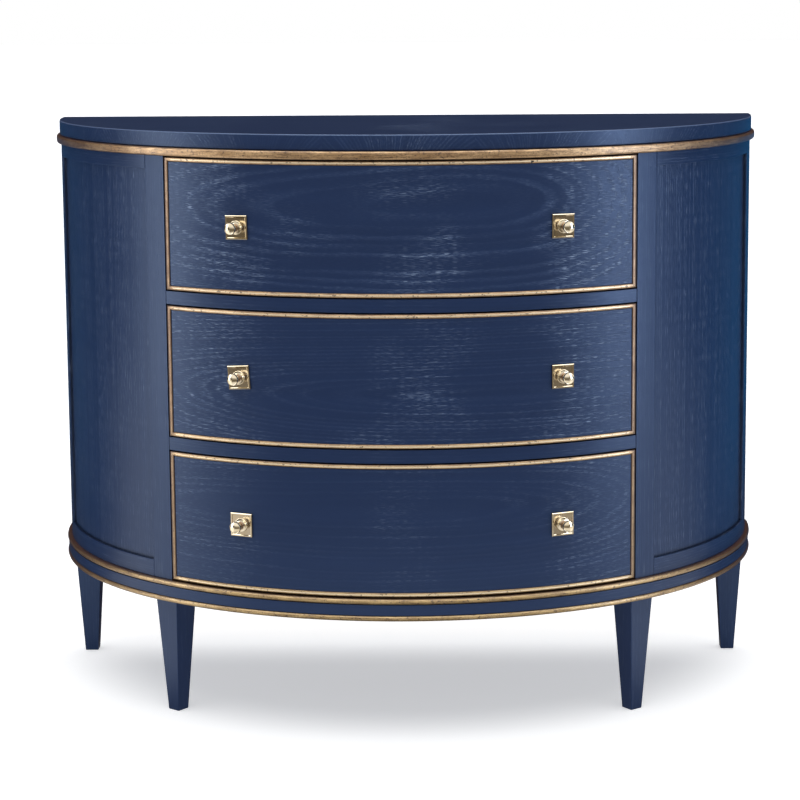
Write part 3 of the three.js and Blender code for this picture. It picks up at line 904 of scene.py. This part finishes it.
def upright_post(spot, facing):
    return Vector((spot.z, spot.x, -spot.y)) / 1000


# %% The four legs
front_leg_x, rear_leg_back = 360, -8


def outward_at(x):
    """Direction square to the front curve."""
    return Vector((x / half_width**2, front_at(x) / depth**2)).normalized()


to_middle = leg_top_width / 2
outward = outward_at(front_leg_x)
front_leg = Vector((front_leg_x, front_at(front_leg_x))) - outward * (leg_inset + to_middle)
rear_leg = Vector((half_width - leg_inset - to_middle, rear_leg_back - to_middle))
turned = math.atan2(outward.x, -outward.y)
for row, spot, turn in (("front", front_leg, turned), ("rear", rear_leg, 0)):
    for sign, side in ((1, "right"), (-1, "left")):
        finish_piece(
            f"oak_{row}_leg_{side}", tapered_leg(sign * spot.x, spot.y, sign * turn), navy_legs,
            "carcase", [f"{row}_leg_{side}"], ease=0.9, lay=upright_post,
            heart=(0.4 * sign, 0.3 + spot.x / 900), squeeze=(0.5, 2.2),
        )

# %% [markdown]
# ## Knobs and their plates
# Both are made lying on the bench and facing up, then hung on the front. A plate is a cube with
# its face inset twice, so that a bright rim stands round a sunk field. A knob is one profile
# spun round, from the screw's head inside the drawer to the button on its face. How bright each
# corner is, from old polish and painted shade, is also worked out on the bench. Most plates are
# turned a little, as their screws left them.

# %% Sizes of the brass
plate_width, plate_thickness, rim_width, rim_bevel, sunk = 34.6, 3, 1.4, 0.8, 0.9
screw_radius, screw_head_radius, screw_head_thickness = 2, 4.4, 2.6
flange_radius, neck_radius, collar_radius = 10.2, 3.8, 5.8
head_radius, head_face_radius, dome_radius, dome_rise = 8.7, 8.1, 14.2, 2.1
flange = plate_thickness - sunk + 2 * seat
collar = flange + 10.2
head_back, head_face = collar + 1.6, collar + 10
print("knobs stand out", round(head_face + dome_rise, 1), "mm from the fronts")


# %% A plate
def knob_plate():
    bm = bmesh.new()
    bmesh.ops.create_cube(bm, size=1)
    bmesh.ops.translate(bm, verts=bm.verts, vec=(0, 0, 0.5))
    bmesh.ops.scale(bm, verts=bm.verts, vec=(plate_width, plate_width, plate_thickness))
    bmesh.ops.translate(bm, verts=bm.verts, vec=(0, 0, seat))
    face = max(bm.faces, key=lambda f: f.calc_center_median().z)
    inset(bm, [face], rim_bevel)
    bmesh.ops.translate(
        bm, verts=[v for v in bm.verts if v not in face.verts[:] and v.co.z > 1],
        vec=(0, 0, -rim_bevel),
    )
    inset(bm, [face], rim_width)
    inset(bm, [face], sunk, -sunk)
    return bm


# %% Profile of a knob and its screw
def arc(centre, radius_out, radius_up, start, end, steps):
    """Points of part of an ellipse beside the axis, as pairs of radius and height."""
    turns = [start + (end - start) * i / steps for i in range(steps + 1)]
    return [
        (centre[0] + radius_out * math.cos(math.radians(t)),
         centre[1] + radius_up * math.sin(math.radians(t)))
        for t in turns
    ]


def screw_profile():
    """The screw's rounded head inside the drawer, and its stem through the front."""
    inside = -(front_thickness + seat + screw_head_thickness)
    return [
        (0, inside), *arc((screw_head_radius - 1, inside + 1), 1, 1, -90, 0, 3),
        (screw_head_radius, inside + screw_head_thickness),
        (screw_radius, inside + screw_head_thickness), (screw_radius, flange),
    ]


def knob_profile():
    """A thin flange on the plate, a waisted neck, a collar, and a head with a domed face."""
    back_turn = math.acos(collar_radius / head_radius)
    face_turn = math.acos(head_face_radius / head_radius)
    swell = (head_face - head_back) / (math.sin(back_turn) + math.sin(face_turn))
    widest = head_back + swell * math.sin(back_turn)
    turns = -math.degrees(back_turn), math.degrees(face_turn)
    return [
        (flange_radius - 0.2, flange),
        *arc((flange_radius - 0.8, flange + 0.9), 0.8, 0.9, -80, 80, 6),
        *arc((neck_radius + 6.2, flange + 5.2), 6.2, 3.4, -95, -180, 8), (neck_radius, collar),
        *arc((collar_radius - 0.9, collar + 0.8), 0.9, 0.8, -90, 70, 6),
        *arc((0, widest), head_radius, swell, *turns, 12),
        *arc((0, head_face + dome_rise - dome_radius), dome_radius, dome_radius, 57, 90, 9),
    ]


whole_profile = screw_profile() + knob_profile()
print("profile of a knob:", len(whole_profile), "points")


# %% A knob
def knob():
    bm = bmesh.new()
    corners = [bm.verts.new((radius, 0, height)) for radius, height in whole_profile]
    edges = [bm.edges.new(pair) for pair in zip(corners, corners[1:])]
    bmesh.ops.spin(
        bm, geom=corners + edges, cent=(0, 0, 0), axis=(0, 0, 1), angle=2 * math.pi, steps=48,
        use_merge=True,
    )
    return bm


# %% Where the cloth reached, and where shade is painted
def plate_polish_and_shade(spot):
    """The foot of the plate is dark brown and its sunk field a little, both painted shade, and its
    rim is bright.
    """
    if spot.z < 1:
        return 0
    inside_rim = plate_width / 2 - rim_bevel - rim_width + 0.1
    in_field = max(abs(spot.x), abs(spot.y)) < inside_rim and spot.z < plate_thickness
    return 0.6 if in_field else 1


def knob_polish_and_shade(spot):
    """A cloth reaches all of the head, and elsewhere only what stands out from the neck; the band
    just under the head is dark as painted shade.
    """
    if spot.z > head_back + 0.2:
        return 1
    radius = math.hypot(spot.x, spot.y)
    return 0 if spot.z > collar + 1 else min(1, max(0, (radius - neck_radius - 0.4) / 3.5))


# %% Hang the brass on the fronts
knob_x = opening_half_width * 0.676
plate_turns = {
    ("top", "left"): 1.5, ("top", "right"): -0.6,
    ("middle", "left"): 4.8, ("middle", "right"): 0.0,
    ("bottom", "left"): 0.0, ("bottom", "right"): 0.6,
}


def hook(sign, height, own_turn=0.0):
    """The way from the bench to a piece's place on the front, square to the curve."""
    outward = outward_at(sign * knob_x)
    return (
        Matrix.Translation((sign * knob_x, front_at(knob_x), height))
        @ Matrix.Rotation(math.atan2(outward.x, -outward.y), 4, "Z")
        @ Matrix.Rotation(quarter, 4, "X")
        @ Matrix.Rotation(math.radians(own_turn), 4, "Z")
    )


def hang_brass(name, bm, place, brightness, body, node):
    bmesh.ops.transform(bm, matrix=place, verts=bm.verts)
    bench = place.inverted()
    finish_piece(
        name, bm, brass, body, [node],
        lay=lambda spot, facing: Vector((0, 0, brightness(bench @ spot))),
    )


for name, bottom in front_bottoms.items():
    height = bottom + front_height / 2
    for sign, side in ((-1, "left"), (1, "right")):
        turned_plate = hook(sign, height, plate_turns[name, side])
        hang_brass(
            f"brass_plate_{name}_{side}", knob_plate(), turned_plate, plate_polish_and_shade,
            f"{name}_drawer", f"{name}_knob_plate_{side}",
        )
        hang_brass(
            f"brass_knob_{name}_{side}", knob(), hook(sign, height), knob_polish_and_shade,
            f"{name}_drawer", f"{name}_knob_{side}",
        )

# %% [markdown]
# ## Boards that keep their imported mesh
# Flat boards inside the chest already have the right shape. They only get a finish whose grain
# runs the right way, a Weld that joins their loose triangles, and eased edges.


# %% Finish the boards inside
def dress(names, material, ease=0.5):
    for name in names:
        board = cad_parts[name]
        board.material_slots[0].material = material
        board.modifiers.new("joined corners", "WELD").merge_threshold = 0.00001
        soften(board, ease)
    print(len(names), "boards in", material.name)


pair = ("left", "right")
dress(["sub_top", "base_board"], navy_inside)
dress([f"partition_{side}" for side in pair], wood_upright)
runners = [f"runner_{level}_{side}" for level in ("lower", "upper") for side in pair]
dress(runners, wood_along_depth)
dress([f"{name}_drawer_side_{side}" for name in drawers for side in pair], wood_along_depth)
dress([f"{name}_drawer_bottom" for name in drawers], wood_lying)
dress([f"{name}_drawer_back" for name in drawers] + ["back_panel"], wood_standing)

# %% [markdown]
# ## Floor
# The camera sees a plain pale floor that the light turns white. The glossy paint and gilding see
# another one: a Light Path node tells which rays come from a gloss, and they meet the floor of
# the studio that the photograph's reflections tell of. It is bright close round the chest and in
# a pool on either side, dark or a dim brown beyond that, and blue further out to the sides.

# %% A floor
ground = bmesh.new()
bmesh.ops.create_grid(ground, x_segments=1, y_segments=1, size=40)
floor_mesh = bpy.data.meshes.new("floor")
ground.to_mesh(floor_mesh)
ground.free()
floor = bpy.data.objects.new("floor", floor_mesh)
scene.collection.objects.link(floor)
print("floor:", len(floor_mesh.polygons), "face")

# %% Where the mirrored floor is bright
paper = Finish(bpy.data.materials.new("pale_floor"))
east, north, _ = paper.parts(paper.object_place())
away = east.absolute() - 0.37
slant = (north * -1 - 0.1) / away.at_least(0.05)
pool = paper.step(slant, -0.45, -0.1) * (1 - paper.step(slant, 0.7, 1.5))
pool = pool * paper.step(away, 0.0, 0.25) * (1 - paper.step(away, 2.4, 3.2))
pool = pool * (1 - paper.step(away, 0.9, 2.2) * paper.step(slant, 0.4, 0.8))
pool = pool * (1 - paper.step(east, 0.0, 0.1) * 0.35)
from_chest = (east * east + north * north) ** 0.5
# A painted shadow: in the mirrored floor, the floor under the chest is darker.
under = 1 - paper.step(from_chest, 0.3, 0.7)
near = (1 - paper.step(from_chest, 0.8, 1.5)) * (1 - under * 0.85)
near = near * (1 - paper.step(north, 0.05, 0.3))
beside = paper.step(away, 0.4, 1.2) * paper.step(north, -0.8, -0.2)
beside = beside * (0.45 + paper.step(east, -0.1, 0.1) * 0.55)
print("patterns of the floor:", len(paper.tree.nodes), "nodes")

# %% The floor for the camera and for a mirror
far = paper.mix(paper.step(north, -1.2, -0.6), (0.2, 0.17, 0.13, 1.0), (0.03, 0.022, 0.017, 1.0))
far = paper.mix(beside, far, (0.0, 0.12, 0.3, 1.0))
dim = paper.mix(near, far, (1.1, 1.06, 1.02, 1.0))
mirrored = paper.mix(pool, dim, (1.5, 1.43, 1.35, 1.0))
in_mirror = paper.node("LightPath", {}, {}, "Is Glossy Ray")
white, grey, black = ((level, level, level, 1.0) for level in (0.8, 0.49, 0.0))
paper.set(Base_Color=paper.mix(in_mirror, white, black), Roughness=0.9)
paper.set(Emission_Color=paper.mix(in_mirror, grey, mirrored), Emission_Strength=1.0)
paper.set(Specular_IOR_Level=0.0)
floor_mesh.materials.append(paper.material)
print("floor finish:", len(paper.tree.nodes), "nodes")

# %% [markdown]
# ## Light
# A broad soft light comes from above. The paint is shown by two tall softboxes, far round on
# either side, which light nothing but what mirrors them. Each one mirrors in the curved front as
# a soft light stripe about a third of the way in, and the middle, which mirrors the dim room,
# stays dark. The world is white to the camera, a soft grey to the light that it sheds, and to a
# gloss it is that dim room, with a light ceiling and a paler wall far in front.


# %% Lights
def aim(name, light, place, target):
    lamp = bpy.data.objects.new(name, light)
    scene.collection.objects.link(lamp)
    lamp.location = place
    lamp.rotation_euler = (Vector(target) - Vector(place)).to_track_quat("-Z", "Y").to_euler()
    lamp.visible_camera = False
    return lamp


def softbox(name, turn, distance, size, power, tint, height=1.0):
    light = bpy.data.lights.new(name, "AREA")
    light.shape = "RECTANGLE"
    light.size, light.size_y = size
    light.energy = power
    light.color = tint
    place = (math.sin(turn) * distance, -math.cos(turn) * distance, height)
    aim(name, light, place, (0, 0, 0.5)).visible_diffuse = False


softbox("left_softbox", math.radians(-76), 2.6, (0.95, 2.4), 27, (1.0, 1.0, 1.0))
softbox("right_softbox", math.radians(68), 2.6, (0.75, 2.4), 34, (0.87, 0.97, 1.15))
sky = bpy.data.lights.new("overhead", "SUN")
sky.angle = math.radians(75)
sky.energy = 2.4
aim("overhead", sky, (0, -0.05, 4), (0, 0, 0))

# %% The world round the chest
world = Finish(bpy.data.worlds.new("studio"), "Background")
scene.world = world.material
_, north, height = world.parts(world.node("TexCoord", {}, {}, "Generated"))
ceiling = world.step(height, 0.1, 0.35) * (1 - world.step(north, -0.1, 0.5))
far_in_front = 1 - world.step(north, -0.9, -0.5)
room = world.mix(far_in_front, (0.022, 0.02, 0.018, 1.0), (0.5, 0.46, 0.41, 1.0))
room = world.mix(ceiling, room, (1.15, 1.12, 1.08, 1.0))
in_front = 1 - world.step(north, -0.8, 0.2)
soft = world.mix(in_front, (0.2, 0.21, 0.23, 1.0), (0.36, 0.37, 0.39, 1.0))
in_mirror = world.node("LightPath", {}, {}, "Is Glossy Ray")
to_camera = world.node("LightPath", {}, {}, "Is Camera Ray")
lit = world.mix(in_mirror, soft, room)
world.set(Color=world.mix(to_camera, lit, (1.0, 1.0, 1.0, 1.0)), Strength=1.0)
scene.view_settings.view_transform = "Standard"
print("world:", len(world.tree.nodes), "nodes")
